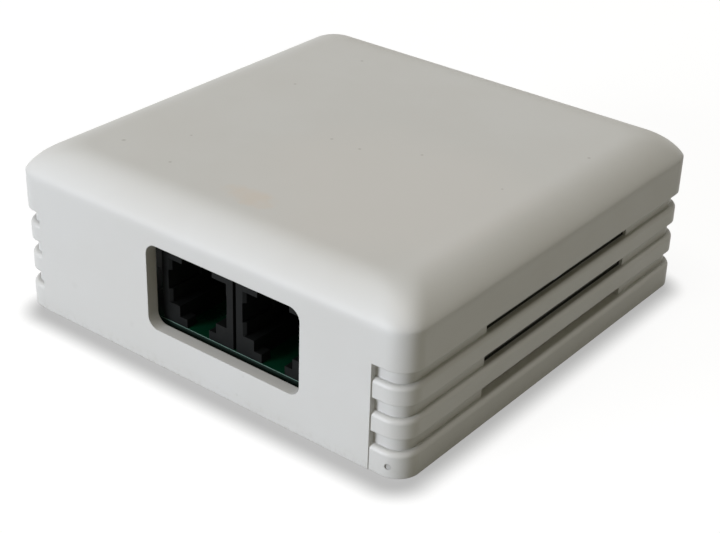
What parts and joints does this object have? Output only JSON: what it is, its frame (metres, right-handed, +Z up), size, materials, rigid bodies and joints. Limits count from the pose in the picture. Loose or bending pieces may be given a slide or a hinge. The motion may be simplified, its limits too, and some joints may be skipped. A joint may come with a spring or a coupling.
{
  "type": "temperature sensor",
  "caption": "Square louvred wall or desk temperature sensor with a rounded lift-off cover, a base tray, a circuit board and side-by-side modular sockets in one wall.",
  "frame": {"origin": "middle of the underside", "axes": "+Z up out of the base; the sockets face -Y; the louvred walls face -X and +X"},
  "size_m": [0.071, 0.071, 0.0255],
  "materials": {
    "cover_plastic": "off-white, satin moulded",
    "base_plastic": "off-white, satin moulded",
    "board_laminate": "dark green, glossy lacquer",
    "screw_steel": "zinc plated",
    "jack_plastic": "black, satin moulded",
    "carrier_plastic": "black, satin moulded",
    "contact_metal": "gold-plated spring bronze",
    "package_plastic": "black moulded epoxy",
    "tinned_metal": "matte tinned",
    "capacitor_ceramic": "fired ceramic",
    "resistor_film": "black glaze"
  },
  "bodies": {
    "base_unit": {"base": "base_plastic", "circuit_board": "board_laminate", "board_screws": "screw_steel", "left_jack_housing": "jack_plastic", "right_jack_housing": "jack_plastic", "left_contact_carrier": "carrier_plastic", "right_contact_carrier": "carrier_plastic", "left_contact_wires": "contact_metal", "right_contact_wires": "contact_metal", "sensor_body": "package_plastic", "sensor_leads": "tinned_metal", "bus_chip": "package_plastic", "bus_chip_leads": "tinned_metal", "capacitors": "capacitor_ceramic", "capacitor_ends": "tinned_metal", "resistors": "resistor_film", "resistor_ends": "tinned_metal", "surge_diodes": "package_plastic", "surge_diode_leads": "tinned_metal"},
    "cover_body": {"cover": "cover_plastic"},
    "left_contacts": {"left_contact_springs": "contact_metal"},
    "right_contacts": {"right_contact_springs": "contact_metal"}
  },
  "joints": [
    {"name": "cover_lift", "type": "slide", "parent": "base_unit", "child": "cover_body", "axis": [0, 0, 1], "range_m": [0, 0.03]},
    {"name": "left_contact_flex", "type": "hinge", "parent": "base_unit", "child": "left_contacts", "pos_m": [-0.00237, -0.03015, 0.0159], "axis": [1, 0, 0], "range_deg": [0, 13], "stiffness_Nm_per_rad": 0.05},
    {"name": "right_contact_flex", "type": "hinge", "parent": "base_unit", "child": "right_contacts", "pos_m": [0.01137, -0.03015, 0.0159], "axis": [1, 0, 0], "range_deg": [0, 13], "stiffness_Nm_per_rad": 0.05}
  ]
}
